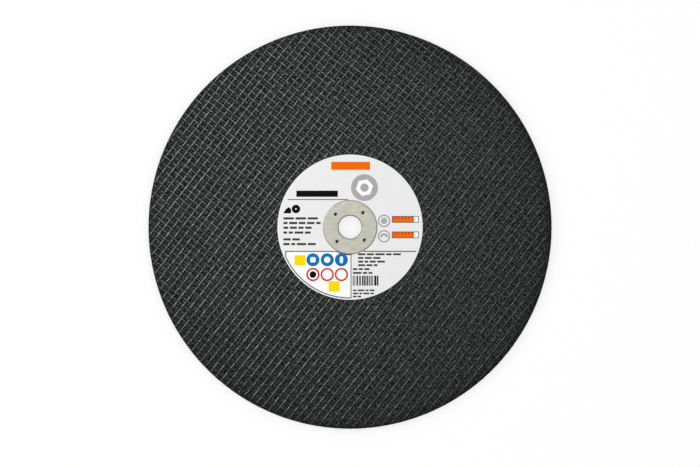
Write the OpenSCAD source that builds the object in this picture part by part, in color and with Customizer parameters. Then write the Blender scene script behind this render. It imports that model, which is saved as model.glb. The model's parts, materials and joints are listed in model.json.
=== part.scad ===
// Cut off wheel for a chop saw: a resin-bonded abrasive disc with its glass-fibre net
// moulded into both faces, a round paper label, and a pressed steel ring in the bore.
// Millimetres. The wheel lies on its back at z = 0, label up, with the bore along Z.

/* [Wheel] */
// Outside diameter of the wheel
wheel_d = 350; // [250:5:410]
// Thickness over the net ridges of both faces
wheel_t = 4.5; // [3.5:0.1:6]
// Width of the broken edge at the rim
edge_break = 0.4; // [0.1:0.1:0.8]

/* [Net] */
// Distance from one yarn ridge to the next
yarn_pitch = 6.06; // [4:0.02:10]
// Width of a yarn ridge at its foot
yarn_w = 1.5; // [0.8:0.1:2]
// Width of the flat on top of a yarn ridge
yarn_top_w = 0.7; // [0.3:0.1:0.8]
// Height of a yarn ridge above the moulded face
yarn_h = 0.25; // [0.1:0.05:0.4]
// Direction of the yarns, from the X axis
yarn_angle = 52; // [0:1:179]
// Plain margin between the net and the rim
net_margin = 1.2; // [0.8:0.1:4]
// Plain band round the label and, on the back, round the bore
net_clearance = 0.8; // [0.2:0.1:3]

/* [Label] */
// Diameter of the label
label_d = 126; // [90:1:160]
// Thickness of the label paper
label_t = 0.2; // [0.1:0.05:0.3]

/* [Arbor ring] */
// Diameter of the bore
bore_d = 20; // [16:0.2:25.4]
// Diameter of the flange on the label
flange_d = 47; // [44:1:60]
// Thickness of the steel sheet
sheet_t = 0.6; // [0.4:0.05:0.8]
// Radius of the bend from the flange into the bore, on its outer side
lip_r = 1; // [0.9:0.1:1.6]
// Width of the rolled-down edge of the flange
roll_w = 1; // [0.5:0.1:2]
// Drop of the rolled-down edge of the flange
roll_drop = 0.35; // [0.1:0.05:0.38]
// Distance from the back of the wheel to the end of the collar
collar_recess = 0.25; // [0:0.05:1]

/* [Anchor points] */
// Number of pierced points that hold the ring in the disc
anchor_count = 4; // [3:1:6]
// Diameter of the circle they stand on
anchor_pcd = 33.6; // [32:0.2:36]
// Direction of the first one, from the X axis
anchor_angle = 48; // [0:1:90]
// Diameter of the pierced hole
anchor_hole_d = 1.6; // [1:0.1:2]
// Diameter of the dimple at the top of the flange
anchor_mouth_d = 3.4; // [2.6:0.1:4]
// Wall of the point at its tip
anchor_wall = 0.25; // [0.15:0.05:0.4]
// Depth of the point below the flange
anchor_depth = 1.5; // [0.8:0.1:2]

/* [Fits] */
// Gap between the ring and what it is pressed into
fit_gap = 0.1; // [0.05:0.01:0.2]

/* [Hidden] */

$fn = 128;
// Overlap of solids that are joined, and overrun of cutters
over = 0.2;

wheel_r = wheel_d / 2;
label_r = label_d / 2;
bore_r = bore_d / 2;
flange_r = flange_d / 2;

// Levels, from the back of the wheel upwards
back_z = yarn_h;
face_z = wheel_t - yarn_h;
seat_z = face_z + label_t;

// Hole for the collar, widened at the face for the inside of the bend
bend_r = lip_r - sheet_t;
collar_hole_r = bore_r + sheet_t + fit_gap;
label_hole_r = bore_r + lip_r + fit_gap;

// Arc of the rolled edge, from its width and drop
roll_r = (roll_w * roll_w + roll_drop * roll_drop) / (2 * roll_drop);

anchor_foot_r = anchor_mouth_d / 2;
anchor_hole_r = anchor_hole_d / 2;
anchor_tip_r = anchor_hole_r + anchor_wall;

// Places one child at each anchor point, with z = 0 at the underside of the flange
module at_anchors() {
    for (i = [0 : anchor_count - 1])
        rotate(anchor_angle + i * 360 / anchor_count)
            translate([anchor_pcd / 2, 0, seat_z])
                children();
}

// Plain moulded disc, without the net
module disc_core() {
    rotate_extrude()
        polygon([
            [collar_hole_r, back_z],
            [wheel_r - edge_break, back_z],
            [wheel_r, back_z + edge_break],
            [wheel_r, face_z - edge_break],
            [wheel_r - edge_break, face_z],
            [collar_hole_r + bend_r, face_z],
            [collar_hole_r, face_z - bend_r]
        ]);
}

// Ridges of one net, standing on z = 0 and running along X, from inner_r to the rim margin
module net_ridges(inner_r) {
    outer_r = wheel_r - net_margin;
    last = floor((outer_r - yarn_w) / yarn_pitch);
    difference() {
        intersection() {
            for (i = [-last : last])
                translate([-wheel_r, i * yarn_pitch, 0])
                    rotate([90, 0, 90])
                        linear_extrude(wheel_d)
                            polygon([
                                [-yarn_w / 2, -over],
                                [yarn_w / 2, -over],
                                [yarn_w / 2, 0],
                                [yarn_top_w / 2, yarn_h],
                                [-yarn_top_w / 2, yarn_h],
                                [-yarn_w / 2, 0]
                            ]);
            translate([0, 0, -2 * over])
                cylinder(r = outer_r, h = yarn_h + 4 * over);
        }
        translate([0, 0, -2 * over])
            cylinder(r = inner_r, h = yarn_h + 4 * over);
    }
}

// Outside of an anchor point with its foot in the sheet, grown by gap for what it goes into
module anchor_point(gap = 0) {
    rotate_extrude()
        polygon([
            [0, -anchor_depth - gap],
            [anchor_tip_r + gap, -anchor_depth - gap],
            [anchor_foot_r + gap, 0],
            [anchor_foot_r + gap, over],
            [0, over]
        ]);
}

// Hole through an anchor point, with its dimple, running out past both ends
module anchor_piercing() {
    dimple_slope = (anchor_foot_r - anchor_hole_r) / sheet_t;
    rotate_extrude()
        polygon([
            [0, -anchor_depth - over],
            [anchor_hole_r, -anchor_depth - over],
            [anchor_hole_r, 0],
            [anchor_foot_r + dimple_slope * over, sheet_t + over],
            [0, sheet_t + over]
        ]);
}

// Section of the ring, bore side to the left, with z = 0 at the underside of the flange
module ring_section() {
    collar_l = seat_z - collar_recess;
    bend_x = bore_r + lip_r;
    difference() {
        union() {
            translate([bend_x, 0])
                square([flange_r - bend_x, sheet_t]);
            translate([bore_r, -collar_l])
                square([sheet_t, collar_l - bend_r]);
            translate([bend_x, -bend_r])
                intersection() {
                    difference() {
                        circle(lip_r);
                        circle(bend_r);
                    }
                    translate([-lip_r, 0])
                        square(lip_r);
                }
        }
        difference() {
            translate([flange_r - roll_w, 0])
                square([roll_w + over, sheet_t + over]);
            translate([flange_r - roll_w, sheet_t - roll_r])
                circle(roll_r);
        }
    }
}

module abrasive_disc() {
    color("#333333")
        difference() {
            rotate(yarn_angle) {
                disc_core();
                translate([0, 0, face_z])
                    net_ridges(label_r + net_clearance);
                translate([0, 0, back_z])
                    mirror([0, 0, 1])
                        net_ridges(collar_hole_r + net_clearance);
            }
            at_anchors()
                anchor_point(fit_gap);
        }
}

module paper_label() {
    color("#ececec")
        difference() {
            translate([0, 0, face_z])
                cylinder(r = label_r, h = label_t);
            cylinder(r = label_hole_r, h = seat_z + over);
            at_anchors()
                anchor_point(fit_gap);
        }
}

module arbor_ring() {
    color("#c4c2b6")
        difference() {
            union() {
                translate([0, 0, seat_z])
                    rotate_extrude()
                        ring_section();
                at_anchors()
                    anchor_point();
            }
            at_anchors()
                anchor_piercing();
        }
}

abrasive_disc();
paper_label();
arbor_ring();
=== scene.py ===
"""Cut off wheel: the finish of an abrasive chop saw wheel, built round its CAD frame.

Laid out as an add-on: property groups hold the sizes and colours, one operator makes each
piece or group of like pieces, and one sets the stage. Lengths are metres, or millimetres where that is said.
"""
import json
import math
import random

import bmesh
import bpy
from mathutils import Matrix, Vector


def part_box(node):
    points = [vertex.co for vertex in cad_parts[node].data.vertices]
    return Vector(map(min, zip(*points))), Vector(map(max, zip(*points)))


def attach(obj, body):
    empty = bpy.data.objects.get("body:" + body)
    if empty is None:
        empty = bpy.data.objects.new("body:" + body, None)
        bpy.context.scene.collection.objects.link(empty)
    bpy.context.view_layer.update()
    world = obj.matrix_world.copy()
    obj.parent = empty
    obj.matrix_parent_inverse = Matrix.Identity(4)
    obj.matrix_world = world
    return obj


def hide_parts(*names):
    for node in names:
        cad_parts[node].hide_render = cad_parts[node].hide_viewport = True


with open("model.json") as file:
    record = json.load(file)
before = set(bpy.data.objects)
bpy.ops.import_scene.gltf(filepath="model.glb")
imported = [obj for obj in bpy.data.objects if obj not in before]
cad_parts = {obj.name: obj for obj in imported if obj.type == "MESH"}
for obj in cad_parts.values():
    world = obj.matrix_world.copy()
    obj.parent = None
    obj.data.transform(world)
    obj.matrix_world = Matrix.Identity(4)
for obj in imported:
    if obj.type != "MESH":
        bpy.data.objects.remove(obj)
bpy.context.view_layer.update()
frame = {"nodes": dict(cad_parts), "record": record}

bl_info = {
    "name": "Cut off wheel",
    "version": (1, 0, 0),
    "blender": (4, 5, 0),
    "location": "3D View > Sidebar > Wheel",
    "description": "Finishes an abrasive cut off wheel with its glass net, label and arbor ring",
    "category": "Object",
}

MM = 0.001
BODY = "root"

# Sizes that the frame gives
DISC_LOW, DISC_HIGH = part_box("abrasive_disc")
LABEL_LOW, LABEL_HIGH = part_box("paper_label")
RING_LOW, RING_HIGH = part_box("arbor_ring")
WHEEL_R = (DISC_HIGH[0] - DISC_LOW[0]) / 2
LABEL_R = (LABEL_HIGH[0] - LABEL_LOW[0]) / 2
FLANGE_R = (RING_HIGH[0] - RING_LOW[0]) / 2
FACE_Z = LABEL_LOW[2]
LABEL_TOP = LABEL_HIGH[2]
BACK_Z = DISC_LOW[2] + DISC_HIGH[2] - FACE_Z
MID_Z = (FACE_Z + BACK_Z) / 2
NET_RELIEF = DISC_HIGH[2] - FACE_Z
BORE_R = next(m for m in frame["record"]["mounts"] if m["kind"] == "bore")["dims"]["r_mm"] * MM
COLLAR_HOLE_R = min(v.co.xy.length for v in frame["nodes"]["abrasive_disc"].data.vertices)
LABEL_HOLE_R = min(v.co.xy.length for v in frame["nodes"]["paper_label"].data.vertices)

# Layout of the bake: round fields for both faces of the disc and its bore, and strips for its rim
BAKE_MAP = "OFBake"
FRONT_FIELD = ((0.365, 0.365), 0.355)
BACK_FIELD = ((0.78, 0.78), 0.2)
BORE_FIELD = ((0.9, 0.1), 0.4)
RIM_STRIPS, STRIP_CORNER = 6, (0.02, 0.78)
STRIP_LENGTH, STRIP_PITCH, STRIP_HEIGHT = 0.5, 0.03, 0.025

# Turn of the yarns' slow wander, in radians for each metre along a yarn and from yarn to yarn
WANDER_ALONG, WANDER_ACROSS = 21.0, 9.0
# Points along a yarn from one crossing to the next, and over its arch
CROSSING_POINTS, ARCH_POINTS = 3.0, 5

# Sides of the wheel, as turns from X: where painted light makes the rim palest, and where painted sheen makes
# the cells palest
LIT_SIDE = math.radians(150)
SHEEN_SIDE = math.radians(-15)
# Painted light on each yarn set, brightest where the light falls across it: the turn to that side, the reach
# towards it over which the yarns grow brighter, and how bright they are at both ends of it
WARP_PAINTED_LIGHT = (math.radians(188), (-0.35, 0.6), (0.55, 1.02))
WEFT_PAINTED_LIGHT = (math.radians(122), (-0.5, 1.0), (0.24, 0.98))

# Height on the label of the rule over its lower half, in millimetres
RULE_Y = -21.0

# Kinds of the sockets of node groups that aren't plain numbers
SOCKET_KINDS = {
    "Vector": "Vector", "Geometry": "Geometry", "Seed": "Int", "Crosses": "Bool",
    "Warp Material": "Material", "Weft Material": "Material",
}


def srgb(code):
    """Linear colour of a #rrggbb code."""
    channels = (int(code[i:i + 2], 16) / 255 for i in (1, 3, 5))
    return tuple(c / 12.92 if c <= 0.04045 else ((c + 0.055) / 1.055) ** 2.4 for c in channels)


def maker(kind, read=None, **options):
    """A function that makes properties of one kind, from a name, a description and a default."""
    def make(name, description, default):
        value = read(default) if read else default
        return kind(name=name, description=description, default=value, **options)
    return make


# Lengths are in metres, angles are given in degrees and colours as #rrggbb codes
length = maker(bpy.props.FloatProperty, unit="LENGTH", precision=5)
spot = maker(bpy.props.FloatVectorProperty, subtype="TRANSLATION", unit="LENGTH", size=3)
angle = maker(bpy.props.FloatProperty, math.radians, subtype="ANGLE")
colour = maker(bpy.props.FloatVectorProperty, srgb, subtype="COLOR", size=3, min=0, max=1)
share = maker(bpy.props.FloatProperty, precision=3)
count = maker(bpy.props.IntProperty, min=3)
seed = maker(bpy.props.IntProperty, min=0)


class AbrasiveSettings(bpy.types.PropertyGroup):
    """Sizes and colours of the moulded disc."""

    edge_break: length("Edge break", "Width of the broken edge at the rim", 0.4 * MM)
    rim_grit: length("Rim grit", "How far grains stand out of the rim or lie back", 0.12 * MM)
    grain: length("Grain", "Size of an abrasive grain", MM)
    rim_band: length("Rim band", "Width of the flat band at the rim that meets the grit", 4 * MM)
    rim_rows: count("Rim rows", "Rows of grit over the rim", 9)
    rim_steps: count("Rim steps", "Points round the rim", 1200)
    bore_steps: count("Bore steps", "Points round the bore", 150)
    seed: seed("Seed", "Seed of the grit at the rim", 5)
    cell: colour("Cell", "Resin and grit in the cells of the net", "#242625")
    # Painted shade and shadow along the yarns, darkest on their shadow side
    yarn_shadow: colour("Yarn shadow", "Resin along the yarns", "#0c0d0d")
    speck: colour("Speck", "Grains that show through the resin", "#6a6c6b")


class NetSettings(bpy.types.PropertyGroup):
    """Sizes and colours of the glass-fibre net on both faces."""

    warp_pitch: length("Warp pitch", "Distance between the main yarns", 6.06 * MM)
    weft_pitch: length("Weft pitch", "Distance between the cross yarns", 5.08 * MM)
    warp_width: length("Warp width", "Width of a main yarn", 1.1 * MM)
    weft_width: length("Weft width", "Width of a cross yarn", 0.8 * MM)
    weft_rise: share("Weft rise", "Height of the cross yarns as a share of the relief", 0.88)
    weave: length("Weave", "Rise and fall of a yarn over the yarns it crosses", 0.02 * MM)
    drift: length("Drift", "Slow sideways wander of the yarns", 0.45 * MM)
    jitter: length("Jitter", "Short sideways waves of single yarns", 0.25 * MM)
    sink: length("Sink", "Depth of a yarn's feet in the resin", 0.06 * MM)
    margin: length("Margin", "Plain margin between the net and the rim", 0.9 * MM)
    clearance: length("Clearance", "Plain band round the label and the bore", 0.5 * MM)
    # Painted shadow: how far the dark line along a yarn lies to its right, on its shadow side
    lee: length("Lee", "How far the groove along a yarn lies to its right", 0.6 * MM)
    angle: angle("Angle", "Direction of the main yarns", 52)
    front_seed: seed("Front seed", "Seed of the yarns' waves on the front", 11)
    back_seed: seed("Back seed", "Seed of the yarns' waves on the back", 16)
    crown: colour("Crown", "Glass that shows on top of the yarns", "#b4b8b6")
    flank: colour("Flank", "Resin on the sides of the yarns", "#161717")


class LabelSettings(bpy.types.PropertyGroup):
    """Colours of the paper label and its print."""

    ink: length("Ink", "Thickness of one layer of print", 0.02 * MM)
    seed: seed("Seed", "Seed of the word-like and upright bars", 23)
    paper: colour("Paper", "Label paper", "#ebebeb")
    white: colour("White", "White field", "#ffffff")
    black: colour("Black", "Black print", "#050505")
    dark: colour("Dark grey", "Fine print", "#3c3c3c")
    grey: colour("Grey", "Grey print", "#adadaf")
    orange: colour("Orange", "Orange print", "#f86b00")
    blue: colour("Blue", "Blue print", "#0572b8")
    red: colour("Red", "Red print", "#e01a08")
    yellow: colour("Yellow", "Yellow print", "#fbe004")


class RingSettings(bpy.types.PropertyGroup):
    """Finish of the steel arbor ring."""

    steel: colour("Steel", "Tinned sheet steel", "#9f9d94")
    tarnish: colour("Tarnish", "Duller patches and streaks", "#8f8c80")
    # Painted shade at the rolled edge, at the bore's lip and in the anchor points' dimples
    edge_shade: colour("Edge shade", "Dirt at the edges and round the anchor points", "#3a3629")
    # Painted shadow deep in the anchor holes
    hole_shadow: colour("Hole shadow", "Dirt deep in the anchor points", "#060505")
    anchors: count("Anchors", "Points that hold the ring in the disc", 4)
    anchor_circle: length("Anchor circle", "Diameter of the circle they stand on", 33.6 * MM)
    anchor_turn: angle("Anchor turn", "Direction of the first one", 48)
    pocket_mouth: length("Pocket mouth", "Diameter of a point's pocket at the flange", 3.6 * MM)
    pocket_floor: length("Pocket floor", "Diameter of a pocket at its floor", 2.3 * MM)
    pocket_depth: length("Pocket depth", "Depth of a pocket below the flange", 1.6 * MM)


class StageSettings(bpy.types.PropertyGroup):
    """Camera, floor and light."""

    frame_width: length("Frame width", "Width of the view at the face of the wheel", 607.3 * MM)
    camera_x: length("Camera X", "Camera's place to the right of the bore", -0.04 * MM)
    camera_y: length("Camera Y", "Camera's place above the bore in the picture", -5.5 * MM)
    lens_mm: share("Lens", "Focal length in millimetres", 100.0)
    key_power: share("Key power", "Power of the lamp at the left, in watts", 42.0)
    key_size: length("Key size", "Side of that lamp", 0.85)
    key_place: spot("Key place", "Where that lamp stands", (-1.84, 0.74, 1.06))
    top_power: share("Top power", "Power of the lamp overhead, in watts", 21.0)
    top_size: length("Top size", "Side of that lamp", 1.2)
    top_place: spot("Top place", "Where that lamp hangs", (-0.2, 0.3, 2.6))
    world: share("World", "Strength of the surrounding light", 0.34)
    floor_size: length("Floor size", "Side of the floor", 12.0)
    shade: share("Shade", "How much darker the floor is right beside the wheel", 0.3)
    shadow: share("Shadow", "How much of the wheel's shadow the camera sees", 0.06)


SETTINGS = {
    "wheel_abrasive": AbrasiveSettings,
    "wheel_net": NetSettings,
    "wheel_label": LabelSettings,
    "wheel_ring": RingSettings,
    "wheel_stage": StageSettings,
}


def feed(socket, value):
    """Links another socket to this one, or sets its value."""
    if isinstance(value, bpy.types.NodeSocket):
        socket.id_data.links.new(value, socket)
    else:
        socket.default_value = value


def add(tree, kind, inputs=None, **settings):
    """A new node, with its settings and what feeds its inputs."""
    node = tree.nodes.new(kind)
    for key, value in settings.items():
        setattr(node, key, value)
    for key, value in (inputs or {}).items():
        feed(node.inputs[key], value)
    return node


def made(kind, inputs, **settings):
    """Outputs of a new node, in the tree of the first socket that feeds it."""
    tree = next(value.id_data for value in inputs.values() if isinstance(value, bpy.types.NodeSocket))
    return add(tree, kind, inputs, **settings).outputs


def result(kind, inputs, **settings):
    """First output of a new node."""
    return made(kind, inputs, **settings)[0]


def calc(operation, a, b=0.0):
    """Result of a Math node."""
    return result("ShaderNodeMath", {0: a, 1: b}, operation=operation)


def times(value, *factors):
    """A value times one or more others."""
    for factor in factors:
        value = calc("MULTIPLY", value, factor)
    return value


def join(x=0.0, y=0.0, z=0.0):
    """A vector from its parts."""
    return result("ShaderNodeCombineXYZ", {0: x, 1: y, 2: z})


def split(vector):
    """The three parts of a vector."""
    return made("ShaderNodeSeparateXYZ", {0: vector})


def measure(operation, a, b=(0.0, 0.0, 0.0)):
    """Number that a Vector Math node gives, such as a length."""
    return made("ShaderNodeVectorMath", {0: a, 1: b}, operation=operation)["Value"]


def from_axis(place):
    """Distance of a place from the wheel's axis."""
    x, y, _ = split(place)
    return measure("LENGTH", join(x, y))


def towards(place, turn, radius):
    """How far a place lies to one side of the wheel: 1 at the rim there, and -1 at the rim opposite."""
    way = (math.cos(turn), math.sin(turn), 0.0)
    return calc("DIVIDE", measure("DOT_PRODUCT", place, way), radius)


def ramp(value, low, high, to_low=0.0, to_high=1.0, smooth=True):
    """A value taken from one range to another, without leaving it."""
    inputs = {"Value": value, "From Min": low, "From Max": high, "To Min": to_low, "To Max": to_high}
    return result("ShaderNodeMapRange", inputs, interpolation_type="SMOOTHSTEP" if smooth else "LINEAR")


def noise(place, scale, detail=2.0, roughness=0.5):
    """Outputs of smooth noise."""
    inputs = {"Vector": place, "Scale": scale, "Detail": detail, "Roughness": roughness}
    return made("ShaderNodeTexNoise", inputs)


def chance(x, y, z):
    """A random number from 0 to 1 for three whole numbers."""
    return made("ShaderNodeTexWhiteNoise", {"Vector": join(x, y, z)})["Value"]


def rgba(value):
    """A colour with its alpha, or the socket as it is."""
    return value if isinstance(value, bpy.types.NodeSocket) else (*value[:3], 1.0)


def mix(factor, a, b, blend="MIX"):
    """A mix of two colours."""
    return made("ShaderNodeMix", {0: factor, 6: rgba(a), 7: rgba(b)}, data_type="RGBA", blend_type=blend)[2]


def dimmed(tint, light):
    """A colour times a number."""
    return mix(1.0, tint, join(light, light, light), blend="MULTIPLY")


def seen(tree):
    """1 for what the camera sees, straight or in a gloss, and 0 for light that falls on a surface."""
    path = add(tree, "ShaderNodeLightPath").outputs
    straight = calc("MAXIMUM", path["Is Camera Ray"], path["Is Transmission Ray"])
    return calc("MAXIMUM", straight, path["Is Glossy Ray"])


def wander(along, offset, drift):
    """Slow sideways wander of a yarn at its offset from the middle."""
    turns = calc("ADD", times(along, WANDER_ALONG), times(offset, WANDER_ACROSS))
    return times(calc("SINE", turns), drift)


def node_group(name, kind, inputs, outputs):
    """A new node tree with its sockets, whose kinds go by their names: the tree, its inputs and outputs."""
    tree = bpy.data.node_groups.new(name, kind)
    for direction, sockets in (("INPUT", inputs), ("OUTPUT", outputs)):
        for socket in sockets:
            socket_kind = "NodeSocket" + SOCKET_KINDS.get(socket, "Float")
            tree.interface.new_socket(socket, in_out=direction, socket_type=socket_kind)
    return tree, add(tree, "NodeGroupInput").outputs, add(tree, "NodeGroupOutput").inputs


# Shader groups

def grit_group():
    """Abrasive grains under resin: their height, their tone and the few that show."""
    outputs = ("Height", "Tone", "Speck")
    tree, given, out = node_group("Grit", "ShaderNodeTree", ("Vector", "Grain"), outputs)
    place, grain = given["Vector"], given["Grain"]
    per_grain = calc("DIVIDE", 1, grain)
    warp = noise(place, per_grain)["Color"]
    bend = {0: warp, 1: times(grain, 0.7), 2: place}
    bent = result("ShaderNodeVectorMath", bend, operation="MULTIPLY_ADD")
    fine = made("ShaderNodeTexVoronoi", {"Vector": bent, "Scale": per_grain})
    clumps = made("ShaderNodeTexVoronoi", {"Vector": bent, "Scale": times(per_grain, 0.6)})
    fine_tone = split(fine["Color"])[0]
    clump_tone = split(clumps["Color"])[1]
    dome = ramp(fine["Distance"], 0.1, 0.75, 1, 0)
    stand = times(dome, ramp(fine_tone, 0, 1, 0.3, 1))
    feed(out["Height"], calc("ADD", stand, times(clump_tone, 0.5)))
    spots = noise(place, times(per_grain, 0.75), detail=0)["Fac"]
    pale = ramp(spots, 0.4, 0.6, 0.1, 2.4)
    feed(out["Tone"], times(pale, ramp(fine_tone, 0, 1, 0.75, 1.25)))
    bare_grains_and_painted_light = times(ramp(fine_tone, 0.66, 0.88), ramp(clump_tone, 0.1, 0.6))
    feed(out["Speck"], times(bare_grains_and_painted_light, ramp(dome, 0.2, 0.7)))
    return tree


def mottle_group():
    """Soft uneven tone, from 0 to 1."""
    tree, given, out = node_group("Mottle", "ShaderNodeTree", ("Vector", "Size"), ("Tone",))
    scale = calc("DIVIDE", 1, given["Size"])
    soft = noise(given["Vector"], scale, detail=5.0, roughness=0.6)["Fac"]
    feed(out["Tone"], ramp(soft, 0.3, 0.7))
    return tree


def cells_group():
    """Cells of the net: random tones for them and their yarns, and the distance to the painted shadow line
    beside each yarn.
    """
    tree, given, out = node_group(
        "Net cells", "ShaderNodeTree",
        ("Vector", "Angle", "Warp Pitch", "Weft Pitch", "Drift", "Lee"),
        ("Tone", "To Warp", "To Weft", "Warp Tone", "Weft Tone"),
    )
    turn_back = {"Vector": given["Vector"], "Angle": times(given["Angle"], -1)}
    along, across, height = split(result("ShaderNodeVectorRotate", turn_back, rotation_type="Z_AXIS"))
    side = calc("SIGN", calc("SUBTRACT", height, MID_Z))
    across = times(across, side)
    warp_drift = wander(along, across, given["Drift"])
    weft_drift = wander(across, times(along, -1), given["Drift"])
    column = calc("DIVIDE", calc("ADD", along, weft_drift), given["Weft Pitch"])
    row = calc("DIVIDE", calc("SUBTRACT", across, warp_drift), given["Warp Pitch"])
    feed(out["Tone"], chance(calc("FLOOR", column), calc("FLOOR", row), side))
    for way, yarn, crossing, shadow_side in (("Warp", row, column, "ADD"), ("Weft", column, row, "SUBTRACT")):
        yarn_number = calc("ROUND", yarn)
        whole = chance(yarn_number, 0.5, side)
        part = chance(yarn_number, calc("FLOOR", crossing), side)
        feed(out[way + " Tone"], calc("ADD", times(whole, 0.6), times(part, 0.4)))
        pitch = given[way + " Pitch"]
        shadow_line = calc(shadow_side, yarn, calc("DIVIDE", given["Lee"], pitch))
        feed(out["To " + way], times(calc("PINGPONG", shadow_line, 0.5), pitch))
    return tree


def rim_shade_group():
    """A factor that darkens slowly outwards and quickly at the rim, where the resin is darker and painted
    shade falls, least on its lit side, where painted light brightens it.
    """
    tree, given, out = node_group("Rim fade", "ShaderNodeTree", ("Vector", "Radius"), ("Light",))
    outwards = calc("DIVIDE", from_axis(given["Vector"]), given["Radius"])
    lit_side = towards(given["Vector"], LIT_SIDE, given["Radius"])
    slow = ramp(outwards, 0.38, 0.95, 1.12, 0.9, smooth=False)
    # Painted shade towards the rim, and painted light on its lit side, the side of the key lamp
    margin = ramp(outwards, 0.7, 0.97, 1, ramp(lit_side, 0.2, 0.75, 0.85, 1.04))
    edge = ramp(outwards, 0.945, 0.998, 1, ramp(lit_side, -1, 1, 0.26, 0.68))
    feed(out["Light"], times(slow, margin, edge))
    return tree


class Finish:
    """A new material: its node tree, its Principled shader and its Object coordinates."""

    def __init__(self, name, base, roughness):
        self.material = bpy.data.materials.new(name)
        self.material.use_nodes = True
        self.material.diffuse_color = rgba(base)
        self.tree = self.material.node_tree
        self.shader = self.tree.nodes["Principled BSDF"]
        self.set("Base Color", rgba(base))
        self.set("Roughness", roughness)
        self.place = add(self.tree, "ShaderNodeTexCoord").outputs["Object"]

    def group(self, make, name, **inputs):
        """Outputs of a shared node group, which is built on its first use."""
        node = add(self.tree, "ShaderNodeGroup", node_tree=bpy.data.node_groups.get(name) or make())
        feed(node.inputs["Vector"], inputs.pop("vector", self.place))
        for key, value in inputs.items():
            feed(node.inputs[key.replace("_", " ").title()], value)
        return node.outputs

    def mottle(self, size, **inputs):
        """Soft uneven tone with patches of this size."""
        return self.group(mottle_group, "Mottle", size=size, **inputs)["Tone"]

    def set(self, socket, value):
        """Feeds one input of the shader."""
        feed(self.shader.inputs[socket], value)

    def bump(self, height, distance, strength):
        """Relief from a height, on top of the mesh."""
        inputs = {"Height": height, "Distance": distance, "Strength": strength}
        self.set("Normal", result("ShaderNodeBump", inputs))


# Finishes

def resin(finish, abrasive, net):
    """What the disc and its yarns share: outputs of the grit and the net's cells, and the painted shade at
    the rim.
    """
    grit = finish.group(grit_group, "Grit", grain=abrasive.grain)
    cells = finish.group(
        cells_group, "Net cells", angle=net.angle, warp_pitch=net.warp_pitch, weft_pitch=net.weft_pitch,
        drift=net.drift, lee=net.lee,
    )
    return grit, cells, finish.group(rim_shade_group, "Rim fade", radius=WHEEL_R)["Light"]


def grit_finish(abrasive, net):
    """Black resin with abrasive grit, uneven from cell to cell, with painted shadow along the yarns, painted
    sheen towards one side and painted shade at the rim.
    """
    finish = Finish("Resin bonded grit", abrasive.cell, 0.7)
    grit, cells, rim_shade = resin(finish, abrasive, net)
    # Painted shadow of the yarns, centred on their shadow side
    nearest = calc("MINIMUM", cells["To Warp"], cells["To Weft"])
    clear = ramp(nearest, 0.4 * net.warp_width, 1.2 * net.warp_width)
    tone = mix(clear, abrasive.yarn_shadow, abrasive.cell)
    cell_light = ramp(cells["Tone"], 0, 1, 0.95, 1.05, smooth=False)
    # Painted sheen: the cells grow paler towards one side of the wheel
    to_sheen = towards(finish.place, SHEEN_SIDE, WHEEL_R)
    painted_sheen = ramp(to_sheen, -1, 1, 0.9, 1.24, smooth=False)
    lit = dimmed(tone, times(cell_light, grit["Tone"], painted_sheen, rim_shade))
    finish.set("Base Color", mix(times(grit["Speck"], 0.45), lit, abrasive.speck))
    finish.set("Roughness", ramp(grit["Tone"], 0.2, 2.5, 0.82, 0.5))
    finish.set("Specular IOR Level", 0.1)
    finish.bump(grit["Height"], 0.4 * MM, 1.0)
    return finish.material


def yarn_finish(abrasive, net, own, crossing, top, light_turn, light_from, light_to):
    """Resin-coated glass yarn, worn light along its crown, with painted light that brightens it towards one
    side of the wheel, painted shadow beside the yarns it crosses and painted shade at the rim.
    """
    finish = Finish(own + " yarn", net.crown, 0.5)
    grit, cells, rim_shade = resin(finish, abrasive, net)
    broad = finish.mottle(9 * MM)
    from_middle = calc("ABSOLUTE", calc("SUBTRACT", split(finish.place)[2], MID_Z))
    above = calc("SUBTRACT", from_middle, FACE_Z - MID_Z)
    crown = ramp(above, 0.55 * top, 0.93 * top)
    # Painted light: the yarns grow brighter towards the side where light falls across them
    bare_grains_and_painted_light = ramp(towards(finish.place, light_turn, WHEEL_R), *light_from, *light_to)
    # Painted shadow: the crown dims beside the crossing yarn, on that yarn's shadow side
    crossing_shadow = ramp(cells["To " + crossing], 0, 0.5 * net.warp_width, 0.6, 1)
    single = ramp(cells[own + " Tone"], 0.1, 0.9, 0.8, 1.05, smooth=False)
    patchy = ramp(broad, 0, 1, 0.75, 1)
    gritty = ramp(grit["Tone"], 0.1, 1.8, 0.35, 1.15)
    worn = times(crown, bare_grains_and_painted_light, crossing_shadow, single, patchy, gritty)
    finish.set("Base Color", dimmed(mix(worn, net.flank, net.crown), rim_shade))
    finish.set("Roughness", ramp(grit["Tone"], 0.2, 2.5, 0.66, 0.44))
    finish.set("Specular IOR Level", 0.15)
    finish.bump(grit["Height"], 0.05 * MM, 0.5)
    return finish.material


def paper_finish(label):
    """Smooth matt paper with a faint fibre."""
    finish = Finish("Label paper", label.paper, 0.6)
    broad = finish.mottle(9 * MM)
    fine = finish.mottle(0.5 * MM)
    shaded = tuple(0.97 * c for c in label.paper)
    finish.set("Base Color", mix(times(broad, fine), label.paper, shaded))
    finish.set("Roughness", ramp(fine, 0, 1, 0.55, 0.68))
    finish.set("Specular IOR Level", 0.15)
    finish.bump(fine, 0.01 * MM, 0.3)
    return finish.material


def ink_finish(name, tint):
    """Printing ink, slightly uneven on the paper."""
    finish = Finish(name, tint, 0.5)
    fine = finish.mottle(0.8 * MM)
    worn = tuple(0.93 * c + 0.003 for c in tint)
    finish.set("Base Color", mix(fine, tint, worn))
    finish.set("Roughness", ramp(fine, 0, 1, 0.5, 0.62))
    finish.set("Specular IOR Level", 0.03)
    return finish.material


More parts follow.
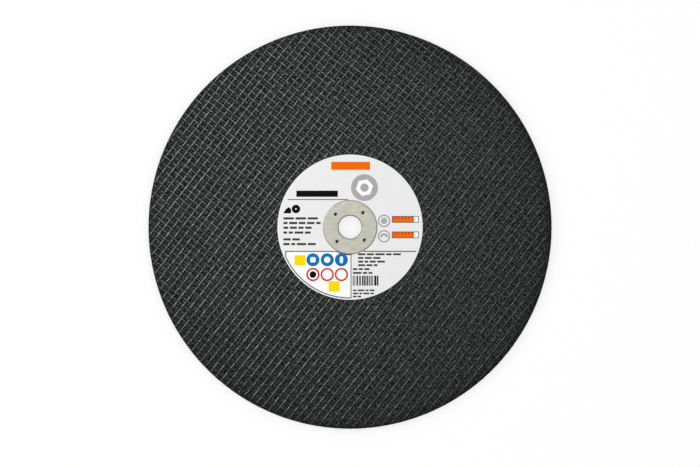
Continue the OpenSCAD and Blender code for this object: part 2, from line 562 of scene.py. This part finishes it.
def steel_finish(ring):
    """Dull tinned steel, with painted shade at the bore's lip, at the rolled edge and in the anchor points'
    dimples, and a painted shadow deep in the anchor holes.
    """
    finish = Finish("Tinned sheet steel", ring.steel, 0.45)
    patches = finish.mottle(5 * MM)
    rolled = result("ShaderNodeMapping", {"Vector": finish.place, "Scale": (0.06, 1.0, 1.0)})
    streaks = finish.mottle(0.5 * MM, vector=rolled)
    level = split(finish.place)[2]
    radius = from_axis(finish.place)
    top = RING_HIGH[2]
    # Painted shade at the rolled edge, at the bore's lip and in the dimples
    rim = ramp(radius, FLANGE_R - 0.6 * MM, FLANGE_R + 0.2 * MM)
    lip = ramp(radius, BORE_R + MM, BORE_R + 0.1 * MM)
    depth = ramp(level, top - 0.02 * MM, top - 0.3 * MM)
    shade_mask = calc("MAXIMUM", calc("MAXIMUM", rim, lip), depth)
    edge_shade = times(shade_mask, ramp(patches, 0, 1, 0.7, 0.95))
    dull = times(calc("ADD", patches, streaks), 0.3)
    shaded_steel = mix(edge_shade, mix(dull, ring.steel, ring.tarnish), ring.edge_shade)
    # Painted shadow deep in the anchor holes, near black
    sunk = ramp(level, top - 0.3 * MM, top - 0.6 * MM)
    hole_shadow = times(sunk, ramp(radius, BORE_R + 1.5 * MM, BORE_R + 2.5 * MM))
    finish.set("Base Color", mix(hole_shadow, shaded_steel, ring.hole_shadow))
    finish.set("Metallic", ramp(hole_shadow, 0, 1, 0.55, 0))
    finish.set("Roughness", ramp(streaks, 0, 1, 0.4, 0.54))
    finish.bump(streaks, 0.01 * MM, 0.25)
    return finish.material


def floor_finish(stage):
    """White floor for the camera, softly shaded beside the wheel, which keeps some of its shadow."""
    material = bpy.data.materials.new("Studio floor")
    material.use_nodes = True
    tree = material.node_tree
    tree.nodes.remove(tree.nodes["Principled BSDF"])
    lit = add(tree, "ShaderNodeBsdfDiffuse", {"Color": (0.98, 0.98, 0.98, 1.0)}).outputs[0]
    open_sky = add(tree, "ShaderNodeAmbientOcclusion", {"Distance": 0.1 * WHEEL_R}).outputs["AO"]
    glow = ramp(open_sky, 0, 1, 1 - stage.shade, 1, smooth=False)
    white = result("ShaderNodeEmission", {"Strength": glow})
    away = measure("LENGTH", add(tree, "ShaderNodeTexCoord").outputs["Object"])
    plain = ramp(away, 2 * WHEEL_R, 8 * WHEEL_R, 1 - stage.shadow, 1)
    mixed = result("ShaderNodeMixShader", {0: times(seen(tree), plain), 1: lit, 2: white})
    feed(tree.nodes["Material Output"].inputs["Surface"], mixed)
    return material


# Meshes

def linked(name, mesh, *materials):
    """A new object for a mesh, in the scene, with its materials."""
    obj = bpy.data.objects.new(name, mesh)
    bpy.context.scene.collection.objects.link(obj)
    for material in materials:
        mesh.materials.append(material)
    return obj


def plain_mesh(name, mesh):
    """A mesh with the faces of an edit mesh, which is freed."""
    plain = bpy.data.meshes.new(name)
    mesh.to_mesh(plain)
    mesh.free()
    return plain


def evaluated_mesh(obj, name):
    """The plain mesh that an object's modifiers give."""
    graph = bpy.context.evaluated_depsgraph_get()
    mesh = bpy.data.meshes.new_from_object(obj.evaluated_get(graph))
    mesh.name = name
    return mesh


def finished(obj, slot, *nodes):
    """Hangs a finished piece on its body and hides the CAD nodes it stands for. The slot argument is not
    used.
    """
    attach(obj, BODY)
    if nodes:
        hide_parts(*nodes)


def disc_profile(abrasive):
    """Closed section of the disc as (radius, height, gritty) points: its back, rim, front and bore."""
    edge, rows = abrasive.edge_break, abrasive.rim_rows
    band_r, edge_r = WHEEL_R - abrasive.rim_band, WHEEL_R - edge
    low, high = BACK_Z + edge, FACE_Z - edge
    bend = LABEL_HOLE_R - COLLAR_HOLE_R
    points = [(COLLAR_HOLE_R, BACK_Z, False), (band_r, BACK_Z, False), (edge_r, BACK_Z, True)]
    points += [(WHEEL_R, low + (high - low) * i / (rows - 1), True) for i in range(rows)]
    points += [(edge_r, FACE_Z, True), (band_r, FACE_Z, False)]
    return points + [(LABEL_HOLE_R, FACE_Z, False), (COLLAR_HOLE_R, FACE_Z - bend, False)]


def stretch(ring, part, parts):
    """Points of one of the equal parts of a ring, with both of its ends."""
    size = len(ring) // parts
    return [ring[(part * size + i) % len(ring)] for i in range(size + 1)]


def face_map(point, centre, radius):
    """Place of a point of a flat face in the bake: a round field with this centre and radius."""
    return centre[0] + point.x / WHEEL_R * radius, centre[1] + point.y / WHEEL_R * radius


def disc_map(face, layer, row, rows, step, steps):
    """Lays one face of the disc out for the bake: the front largest, the rim in strips above it."""
    low, high = min(v.co.z for v in face.verts), max(v.co.z for v in face.verts)
    for corner, loop in enumerate(face.loops):
        point = loop.vert.co
        if high - low < 0.01 * MM:
            place = face_map(point, *(FRONT_FIELD if high > MID_Z else BACK_FIELD))
        elif point.xy.length > LABEL_R:
            strip = step * RIM_STRIPS // steps
            along = (step + (corner in (1, 2))) * RIM_STRIPS / steps - strip
            up = STRIP_PITCH * strip + STRIP_HEIGHT * (row + (corner > 1)) / rows
            place = (STRIP_CORNER[0] + STRIP_LENGTH * along, STRIP_CORNER[1] + up)
        else:
            place = face_map(point * (1 + point.z / FACE_Z), *BORE_FIELD)
        loop[layer].uv = place


def disc_mesh(abrasive):
    """The moulded disc without its net, turned from its section, with a gritty rim."""
    draw = random.Random(abrasive.seed)
    mesh = bmesh.new()
    layer = mesh.loops.layers.uv.new(BAKE_MAP)
    rings = []
    for radius, height, gritty in disc_profile(abrasive):
        steps = abrasive.rim_steps if radius > LABEL_R else abrasive.bore_steps
        ring = []
        for i in range(steps):
            turn = math.tau * i / steps
            out = radius + (draw.uniform(-abrasive.rim_grit, 0.2 * abrasive.rim_grit) if gritty else 0.0)
            ring.append(mesh.verts.new((out * math.cos(turn), out * math.sin(turn), height)))
        rings.append(ring)
    for row, (ring, after) in enumerate(zip(rings, rings[1:] + rings[:1])):
        parts = min(len(ring), len(after))
        for i in range(parts):
            face = mesh.faces.new(stretch(ring, i, parts) + stretch(after, i, parts)[::-1])
            disc_map(face, layer, row, len(rings), i, parts)
            face.smooth = min(v.co.xy.length for v in face.verts) > WHEEL_R - 2 * abrasive.edge_break
    bmesh.ops.recalc_face_normals(mesh, faces=mesh.faces)
    return plain_mesh("abrasive_body", mesh)


def pocket_mesh(ring):
    """Cones for the pockets that the ring's anchor points are pressed into."""
    mesh = bmesh.new()
    middle = LABEL_TOP - ring.pocket_depth / 2
    for i in range(ring.anchors):
        turn = ring.anchor_turn + math.tau * i / ring.anchors
        out = ring.anchor_circle / 2
        bmesh.ops.create_cone(
            mesh, cap_ends=True, segments=24, depth=ring.pocket_depth,
            radius1=ring.pocket_floor / 2, radius2=ring.pocket_mouth / 2,
            matrix=Matrix.Translation((out * math.cos(turn), out * math.sin(turn), middle)),
        )
    return plain_mesh("anchor_pockets", mesh)


def cut(obj, cutter_mesh):
    """Cuts one closed mesh out of an object's mesh."""
    cutter = linked(cutter_mesh.name, cutter_mesh)
    modifier = obj.modifiers.new("Cut", "BOOLEAN")
    modifier.operation = "DIFFERENCE"
    modifier.solver = "EXACT"
    modifier.object = cutter
    whole = obj.data
    obj.data = evaluated_mesh(obj, whole.name + "_cut")
    obj.modifiers.remove(modifier)
    bpy.data.objects.remove(cutter)
    bpy.data.meshes.remove(whole)


def flat_map(mesh, facing):
    """Lays the faces out as seen from above for the bake, with those turned away in a corner."""
    layer = mesh.uv_layers.new(name=BAKE_MAP)
    span = 2.04 * WHEEL_R
    corner = 0.004
    for face in mesh.polygons:
        away = face.normal.z * facing < -0.5
        for loop in face.loop_indices:
            point = mesh.vertices[mesh.loops[loop].vertex_index].co
            u, v = point.x / span + 0.5, point.y / span + 0.5
            layer.data[loop].uv = (u * corner, v * corner) if away else (u, v)


# Geometry Nodes

def yarn_lines(tree, given):
    """Straight lines for the yarns of one direction, along X and clipped between two circles."""
    outer, inner, pitch = given["Outer Radius"], given["Inner Radius"], given["Pitch"]
    last = calc("FLOOR", calc("DIVIDE", calc("SUBTRACT", outer, given["Width"]), pitch))
    total = calc("ADD", times(last, 2), 1)
    first = join(0, times(last, pitch, -1))
    inputs = {"Count": total, "Start Location": first, "Offset": join(0, pitch)}
    starts = result("GeometryNodeMeshLine", inputs, mode="OFFSET")
    offset = split(add(tree, "GeometryNodeInputPosition").outputs[0])[1]

    def half_chord(radius):
        square = calc("SUBTRACT", times(radius, radius), times(offset, offset))
        return calc("SQRT", calc("MAXIMUM", square, 0))

    reach, hole = half_chord(outer), half_chord(inner)
    meets_hole = calc("LESS_THAN", calc("ABSOLUTE", offset), inner)
    short = calc("SUBTRACT", reach, hole)
    whole = times(reach, 2)
    left_length = calc("ADD", whole, times(meets_hole, calc("SUBTRACT", short, whole)))
    unit = add(tree, "GeometryNodeCurvePrimitiveLine", {"End": (1.0, 0.0, 0.0)}).outputs[0]
    both = add(tree, "GeometryNodeJoinGeometry")
    for begin, span, chosen in ((times(reach, -1), left_length, True), (hole, short, meets_hole)):
        moved = result("GeometryNodeSetPosition", {"Geometry": starts, "Position": join(begin, offset)})
        inputs = {"Points": moved, "Instance": unit, "Selection": chosen, "Scale": join(span, 1, 1)}
        feed(both.inputs[0], result("GeometryNodeInstanceOnPoints", inputs))
    return result("GeometryNodeRealizeInstances", {0: both.outputs[0]})


def yarn_set_tree():
    """Yarns of one direction, along X, clipped between two circles and standing on z = 0."""
    inputs = (
        "Outer Radius", "Inner Radius", "Pitch", "Cross Pitch", "Width", "Height", "Sink", "Weave",
        "Drift", "Jitter", "Seed", "Crosses",
    )
    tree, given, out = node_group("Yarn set", "GeometryNodeTree", inputs, ("Geometry",))
    pitch, cross_pitch = given["Pitch"], given["Cross Pitch"]
    step = calc("DIVIDE", cross_pitch, CROSSING_POINTS)
    inputs = {"Curve": yarn_lines(tree, given), "Length": step}
    curves = result("GeometryNodeResampleCurve", inputs, mode="LENGTH")
    along, offset, _ = split(add(tree, "GeometryNodeInputPosition").outputs[0])
    over = calc("COSINE", times(calc("DIVIDE", along, cross_pitch), math.pi))
    turns = calc("COSINE", times(calc("DIVIDE", offset, pitch), math.pi))
    rise = times(over, turns, given["Weave"])
    yarn_number = calc("ROUND", calc("DIVIDE", offset, pitch))
    place = join(calc("DIVIDE", along, times(pitch, 4)), yarn_number, given["Seed"])
    waves = ramp(noise(place, 1, detail=1)["Fac"], 0.25, 0.75, -1, 1, smooth=False)
    aside = calc("ADD", wander(along, offset, given["Drift"]), times(waves, given["Jitter"]))
    curves = result("GeometryNodeSetPosition", {"Geometry": curves, "Offset": join(0, aside, rise)})
    curves = result("GeometryNodeSetCurveNormal", {"Curve": curves}, mode="Z_UP")

    half_turn = {"Resolution": ARCH_POINTS, "Radius": 0.5, "Start Angle": math.pi, "Sweep Angle": math.pi}
    arch = add(tree, "GeometryNodeCurveArc", half_turn, mode="RADIUS").outputs["Curve"]
    arch = result("GeometryNodeSetSplineCyclic", {"Geometry": arch, "Cyclic": True})
    rise_and_sink = times(calc("ADD", given["Height"], given["Sink"]), 2)
    scale, shift = join(given["Width"], rise_and_sink, 1), join(0, given["Sink"])
    arch = result("GeometryNodeTransform", {"Geometry": arch, "Scale": scale, "Translation": shift})
    yarns = result("GeometryNodeCurveToMesh", {"Curve": curves, "Profile Curve": arch, "Fill Caps": True})
    yarns = result("GeometryNodeSetShadeSmooth", {"Geometry": yarns})
    inputs = {"Geometry": yarns, "Name": "crosses", "Value": given["Crosses"]}
    yarns = result("GeometryNodeStoreNamedAttribute", inputs, data_type="BOOLEAN", domain="FACE")
    feed(out["Geometry"], yarns)
    return tree


def net_tree():
    """A net of two yarn sets that pass over and under each other, on one face of the disc."""
    shared = ("Outer Radius", "Inner Radius", "Sink", "Drift", "Jitter")
    inputs = (
        *shared, "Warp Pitch", "Weft Pitch", "Warp Width", "Weft Width", "Warp Height", "Weft Height",
        "Weave", "Level", "Turn Over", "Angle", "Seed", "Warp Material", "Weft Material",
    )
    tree, given, out = node_group("Glass net", "GeometryNodeTree", inputs, ("Geometry",))
    yarn_set = yarn_set_tree()
    both = add(tree, "GeometryNodeJoinGeometry")
    for name, cross, sign, quarter in (("Warp", "Weft", 1.0, 0.0), ("Weft", "Warp", -1.0, math.pi / 2)):
        inputs = {key: given[key] for key in shared} | {
            "Pitch": given[name + " Pitch"],
            "Cross Pitch": given[cross + " Pitch"],
            "Width": given[name + " Width"],
            "Height": calc("SUBTRACT", given[name + " Height"], given["Weave"]),
            "Weave": times(given["Weave"], sign),
            "Seed": calc("ADD", given["Seed"], sign),
            "Crosses": name == "Weft",
        }
        yarns = result("GeometryNodeGroup", inputs, node_tree=yarn_set)
        turned = result("GeometryNodeTransform", {"Geometry": yarns, "Rotation": (0.0, 0.0, quarter)})
        feed(both.inputs[0], turned)
    level, turn = join(0, 0, given["Level"]), join(given["Turn Over"], 0, given["Angle"])
    inputs = {"Geometry": both.outputs[0], "Translation": level, "Rotation": turn}
    real = result("GeometryNodeRealizeInstances", {0: result("GeometryNodeTransform", inputs)})
    named = add(tree, "GeometryNodeInputNamedAttribute", {"Name": "crosses"}, data_type="BOOLEAN")
    for name, chosen in (("Warp", True), ("Weft", named.outputs[0])):
        inputs = {"Geometry": real, "Selection": chosen, "Material": given[name + " Material"]}
        real = result("GeometryNodeSetMaterial", inputs)
    feed(out["Geometry"], real)
    return tree


def grown(name, tree, values):
    """The plain mesh that a Geometry Nodes tree gives for these inputs."""
    holder = linked(name + "_nodes", bpy.data.meshes.new(name + "_nodes"))
    modifier = holder.modifiers.new(tree.name, "NODES")
    modifier.node_group = tree
    for socket in tree.interface.items_tree:
        if socket.in_out == "INPUT":
            modifier[socket.identifier] = values[socket.name]
    mesh = evaluated_mesh(holder, name)
    bpy.data.objects.remove(holder)
    if not mesh.polygons:
        raise RuntimeError(f"{name}: the node tree gave no faces")
    mesh.attributes.remove(mesh.attributes["crosses"])
    return mesh


# Print: outlines in millimetres from the centre of the bore, as the label is read

def bar(x, y, width, height):
    """Outline of an upright bar, from its centre and size."""
    left, right = x - width / 2, x + width / 2
    low, high = y - height / 2, y + height / 2
    return [(left, low), (right, low), (right, high), (left, high)]


def arc(x, y, radius, start, end, steps):
    """Points along an arc, angles in degrees."""
    turns = [math.radians(start + (end - start) * i / steps) for i in range(steps + 1)]
    return [(x + radius * math.cos(t), y + radius * math.sin(t)) for t in turns]


def ngon(x, y, radius, sides=48, turn=0.0):
    """Outline of a disc, or of a polygon with equal sides."""
    return arc(x, y, radius, turn, turn + 360 * (sides - 1) / sides, sides - 1)


def soft_bar(x, y, width, height, corner):
    """Outline of a bar with round corners."""
    across, up = width / 2 - corner, height / 2 - corner
    points = []
    for quarter, (i, k) in enumerate(((1, 1), (-1, 1), (-1, -1), (1, -1))):
        points += arc(x + i * across, y + k * up, corner, 90 * quarter, 90 * quarter + 90, 6)
    return points


def panel_outline(grow):
    """White panel at the lower left: under a rule, inside the label's edge and round the flange."""
    top, left, right, outer = RULE_Y + grow, -55.75 - grow, 1.08 + grow, 61.4 + grow
    inner = FLANGE_R / MM + 0.5 - grow
    start = 180 + math.degrees(math.acos(-left / outer))
    points = arc(0, 0, outer, start, 270 + math.degrees(math.asin(right / outer)), 48)
    end = 180 + math.degrees(math.asin(-top / inner))
    points += arc(0, 0, inner, 270 + math.degrees(math.asin(right / inner)), end, 24)
    return points + [(left, top)]


class InkPlan:
    """Fields of ink by colour, each on its layer, and the random draws for them."""

    def __init__(self, seed):
        self.inks = {}
        self.draw = random.Random(seed)

    def field(self, ink, outline, layer=0, hole=None):
        """A field of one ink, with a hole whose outline has as many points."""
        self.inks.setdefault(ink, []).append((layer, outline, hole))

    def hoop(self, ink, x, y, radius, band, layer=0):
        """A round band."""
        self.field(ink, ngon(x, y, radius), layer, ngon(x, y, radius - band))

    def words(self, x_from, x_to, y, height):
        """Word-like bars along a line of fine print."""
        while x_to - x_from > height:
            width = min(self.draw.uniform(1.6, 5.0) * height, x_to - x_from)
            self.field("dark", bar(x_from + width / 2, y, width, height))
            x_from += width + 0.75 * height


def plan_heading(plan):
    """Bars for the headings, and a nut on a grey disc for the metals that the wheel is for."""
    plan.field("orange", bar(0.5, 53.2, 33.7, 7.0))
    plan.field("black", bar(-28.6, 29.0, 36.0, 5.4))
    plan.field("dark", bar(-27.9, 23.95, 52.4, 0.7))
    nut = (12.5, 34.3)
    plan.field("grey", ngon(*nut, 11.6, 72))
    plan.field("white", ngon(*nut, 7.6, 6, 12.0), 1)
    plan.field("grey", ngon(*nut, 3.6), 2)


def plan_sizes(plan):
    """A small saw blade on its arm, and lines of fine print under it."""
    blade = (-46.9, 15.8)
    plan.field("black", ngon(*blade, 3.7))
    plan.field("paper", ngon(*blade, 0.7), 1)
    plan.field("black", [(-57.9, 12.0), (-51.1, 12.0), (-51.1, 15.6), (-53.0, 17.4), (-55.6, 15.8)])
    x_from, height = -57.8, 1.9
    for x_to, y in (
        (-26.9, 7.6), (-25.2, 3.6), (-33.3, -0.5), (-34.2, -4.7), (-43.6, -10.6), (-27.8, -14.7),
    ):
        plan.words(x_from, x_to, y, height)


def plan_gauges(plan):
    """Two grey rings, each with a gauge that is four fifths full."""
    ring_x, upper, lower = 29.5, 5.4, -7.9
    for y in (upper, lower):
        plan.hoop("grey", ring_x, y, 5.5, 1.3)
    plan.field("grey", ngon(ring_x, upper, 2.7))
    for ink, radius, layer in (("grey", 3.6, 0), ("paper", 1.6, 1)):
        plan.field(ink, arc(ring_x, lower - 0.9, radius, 0, 180, 24), layer)
    left, width, height, line, full = 36.3, 23.3, 5.8, 0.55, 0.8
    for y in (6.75, -6.7):
        plan.field("dark", bar(left + width / 2, y, width, height))
        plan.field("white", bar(left + width / 2, y, width - 2 * line, height - 2 * line), 1)
        plan.field("orange", bar(left + line + full * width / 2, y, full * width, height - 2 * line), 2)
        for i in range(6):
            plan.field("dark", bar(left + 3.0 + 2.9 * i, y + 1.4, 0.7, 1.7), 3)


def plan_panel(plan):
    """White panel with plain marks in two rows."""
    line = 0.42
    plan.field("dark", panel_outline(line))
    plan.field("white", panel_outline(-line), 1)
    for x, y in ((-43.4, -28.8), (-13.9, -51.4)):
        plan.field("yellow", soft_bar(x, y, 9.6, 9.0, 1.2), 2)
    columns, upper, lower = (-32.2, -19.8, -7.5), -28.3, -41.1
    for x in columns:
        plan.field("blue", ngon(x, upper, 5.65), 2)
        plan.hoop("red", x, lower, 5.8, 1.5, 2)
    plan.field("white", soft_bar(columns[0], upper, 4.6, 4.6, 1.0), 3)
    plan.field("white", ngon(columns[1], upper, 2.7), 3)
    plan.field("white", soft_bar(columns[2], upper, 2.8, 6.0, 1.2), 3)
    plan.field("black", ngon(columns[0], lower, 2.9), 2)


def plan_fine_print(plan):
    """Rules and fine print at the lower right, with a block of upright bars."""
    plan.field("dark", bar(34.5, RULE_Y, 45.8, 0.85))
    plan.field("grey", bar(0.85, -42.8, 1.3, 37.2), 2)
    for x_from, x_to, y in (
        (7.0, 45.0, -23.5), (7.0, 29.0, -26.7), (7.0, 32.1, -29.9), (7.0, 23.8, -33.0),
        (2.6, 18.6, -36.4), (2.6, 20.6, -39.7),
    ):
        plan.words(x_from, x_to, y, 1.65)
    x, x_end = 2.4, 25.5
    while x < x_end:
        width = plan.draw.choice((0.7, 0.9, 1.3, 1.8))
        plan.field("black", bar(x + width / 2, -46.4, width, 8.6))
        x += width + plan.draw.choice((0.5, 0.7, 1.1))
    for x_to, y in ((22.5, -54.8), (20.6, -57.5), (9.6, -60.2)):
        plan.words(2.6, x_to, y, 1.4)


def print_mesh(name, fields, ink):
    """Thin closed fields of one ink on the label."""
    mesh = bmesh.new()

    def loop(points, z):
        return [mesh.verts.new((x * MM, y * MM, z)) for x, y in points]

    def wall(lower, upper):
        for i in range(len(lower)):
            k = (i + 1) % len(lower)
            mesh.faces.new((lower[i], lower[k], upper[k], upper[i]))

    for layer, outline, hole in fields:
        low = LABEL_TOP + layer * ink
        lower, upper = loop(outline, low), loop(outline, low + ink)
        wall(lower, upper)
        if hole is None:
            mesh.faces.new(upper)
            mesh.faces.new(lower)
        else:
            low_hole, top_hole = loop(hole, low), loop(hole, low + ink)
            wall(top_hole, low_hole)
            wall(upper, top_hole)
            wall(low_hole, lower)
    bmesh.ops.recalc_face_normals(mesh, faces=mesh.faces)
    return plain_mesh(name, mesh)


# Operators

class WHEEL_OT_abrasive_body(bpy.types.Operator):
    """Moulded abrasive disc with its gritty rim"""

    bl_idname = "wheel.abrasive_body"
    bl_label = "Abrasive disc"

    def execute(self, context):
        scene = context.scene
        mesh = disc_mesh(scene.wheel_abrasive)
        body = linked("abrasive_body", mesh, grit_finish(scene.wheel_abrasive, scene.wheel_net))
        cut(body, pocket_mesh(scene.wheel_ring))
        finished(body, "abrasive", "abrasive_disc")
        return {"FINISHED"}


class WHEEL_OT_glass_nets(bpy.types.Operator):
    """Glass-fibre nets on the front and the back of the disc"""

    bl_idname = "wheel.glass_nets"
    bl_label = "Glass nets"

    def execute(self, context):
        net = context.scene.wheel_net
        abrasive = context.scene.wheel_abrasive
        tree = net_tree()
        weft_relief = NET_RELIEF * net.weft_rise
        values = {
            "Outer Radius": WHEEL_R - net.margin,
            "Warp Height": NET_RELIEF,
            "Weft Height": weft_relief,
            "Warp Material": yarn_finish(abrasive, net, "Warp", "Weft", NET_RELIEF, *WARP_PAINTED_LIGHT),
            "Weft Material": yarn_finish(abrasive, net, "Weft", "Warp", weft_relief, *WEFT_PAINTED_LIGHT),
        }
        for key in (
            "warp_pitch", "weft_pitch", "warp_width", "weft_width", "sink", "weave", "drift", "jitter",
            "angle",
        ):
            values[key.replace("_", " ").title()] = getattr(net, key)
        for name, inner, level, facing, seed in (
            ("front_net", LABEL_R + net.clearance, FACE_Z, 1.0, net.front_seed),
            ("back_net", COLLAR_HOLE_R + net.clearance, BACK_Z, -1.0, net.back_seed),
        ):
            turn_over = 0.0 if facing > 0 else math.pi
            side = {"Inner Radius": inner, "Level": level, "Turn Over": turn_over, "Seed": seed}
            mesh = grown(name, tree, values | side)
            flat_map(mesh, facing)
            finished(linked(name, mesh), "abrasive")
        return {"FINISHED"}


class WHEEL_OT_paper_label(bpy.types.Operator):
    """Paper of the round label"""

    bl_idname = "wheel.paper_label"
    bl_label = "Paper label"

    def execute(self, context):
        paper = frame["nodes"]["paper_label"]
        paper.data.materials.clear()
        paper.data.materials.append(paper_finish(context.scene.wheel_label))
        return {"FINISHED"}


class WHEEL_OT_label_print(bpy.types.Operator):
    """Plain fields of ink on the label, one piece for each colour"""

    bl_idname = "wheel.label_print"
    bl_label = "Label print"

    def execute(self, context):
        label = context.scene.wheel_label
        plan = InkPlan(label.seed)
        for step in (plan_heading, plan_sizes, plan_gauges, plan_panel, plan_fine_print):
            step(plan)
        for ink, fields in plan.inks.items():
            name = "print_" + ink
            finish = ink_finish("Printing ink " + ink, getattr(label, ink))
            finished(linked(name, print_mesh(name, fields, label.ink), finish), "label_paper")
        return {"FINISHED"}


class WHEEL_OT_arbor_ring(bpy.types.Operator):
    """Steel ring in the bore"""

    bl_idname = "wheel.arbor_ring"
    bl_label = "Arbor ring"

    def execute(self, context):
        ring = frame["nodes"]["arbor_ring"]
        ring.data.materials.clear()
        ring.data.materials.append(steel_finish(context.scene.wheel_ring))
        return {"FINISHED"}


class WHEEL_OT_stage(bpy.types.Operator):
    """Floor, light and camera"""

    bl_idname = "wheel.stage"
    bl_label = "Stage"

    def execute(self, context):
        scene = context.scene
        stage = scene.wheel_stage
        scene.view_settings.view_transform = "Standard"
        bpy.ops.mesh.primitive_plane_add(size=stage.floor_size, location=(0.0, 0.0, 0.0))
        floor = context.active_object
        floor.name = "floor"
        floor.data.materials.append(floor_finish(stage))
        self.light("key_lamp", stage.key_power, stage.key_size, stage.key_place)
        self.light("top_lamp", stage.top_power, stage.top_size, stage.top_place)
        self.surround(scene, stage.world)
        self.camera(scene, stage)
        return {"FINISHED"}

    def light(self, name, power, size, place):
        """A square lamp that points at the wheel."""
        data = bpy.data.lights.new(name, "AREA")
        data.energy = power
        data.size = size
        lamp = bpy.data.objects.new(name, data)
        lamp.location = place
        lamp.rotation_euler = (-lamp.location).to_track_quat("-Z", "Y").to_euler()
        bpy.context.scene.collection.objects.link(lamp)

    def surround(self, scene, strength):
        """Even light from all round, white where the camera sees it."""
        world = bpy.data.worlds.new("Studio")
        world.use_nodes = True
        tree = world.node_tree
        background = tree.nodes["Background"].inputs
        feed(background["Color"], (1.0, 1.0, 1.0, 1.0))
        feed(background["Strength"], ramp(seen(tree), 0, 1, strength, 1, smooth=False))
        scene.world = world

    def camera(self, scene, stage):
        """Camera straight above the wheel."""
        data = bpy.data.cameras.new("camera")
        data.lens = stage.lens_mm
        camera = bpy.data.objects.new("camera", data)
        distance = stage.frame_width * data.lens / data.sensor_width
        camera.location = (stage.camera_x, stage.camera_y, FACE_Z + distance)
        scene.collection.objects.link(camera)
        scene.camera = camera


class WHEEL_PT_panel(bpy.types.Panel):
    """Lists the steps that build the wheel"""

    bl_idname = "WHEEL_PT_panel"
    bl_label = "Cut off wheel"
    bl_space_type = "VIEW_3D"
    bl_region_type = "UI"
    bl_category = "Wheel"

    def draw(self, context):
        for operator in OPERATORS:
            self.layout.operator(operator.bl_idname)


OPERATORS = (
    WHEEL_OT_stage, WHEEL_OT_abrasive_body, WHEEL_OT_glass_nets, WHEEL_OT_paper_label,
    WHEEL_OT_label_print, WHEEL_OT_arbor_ring,
)
CLASSES = (*SETTINGS.values(), *OPERATORS, WHEEL_PT_panel)


def register():
    """Registers the classes and puts the settings on the scene."""
    for cls in CLASSES:
        bpy.utils.register_class(cls)
    for name, cls in SETTINGS.items():
        setattr(bpy.types.Scene, name, bpy.props.PointerProperty(type=cls))


def unregister():
    """Takes the settings off the scene and removes the classes."""
    for name in SETTINGS:
        delattr(bpy.types.Scene, name)
    for cls in reversed(CLASSES):
        bpy.utils.unregister_class(cls)


def main():
    """Builds the wheel and its stage."""
    register()
    bpy.ops.wheel.stage()
    bpy.ops.wheel.abrasive_body()
    bpy.ops.wheel.glass_nets()
    bpy.ops.wheel.paper_label()
    bpy.ops.wheel.label_print()
    bpy.ops.wheel.arbor_ring()


if __name__ == "__main__":
    main()
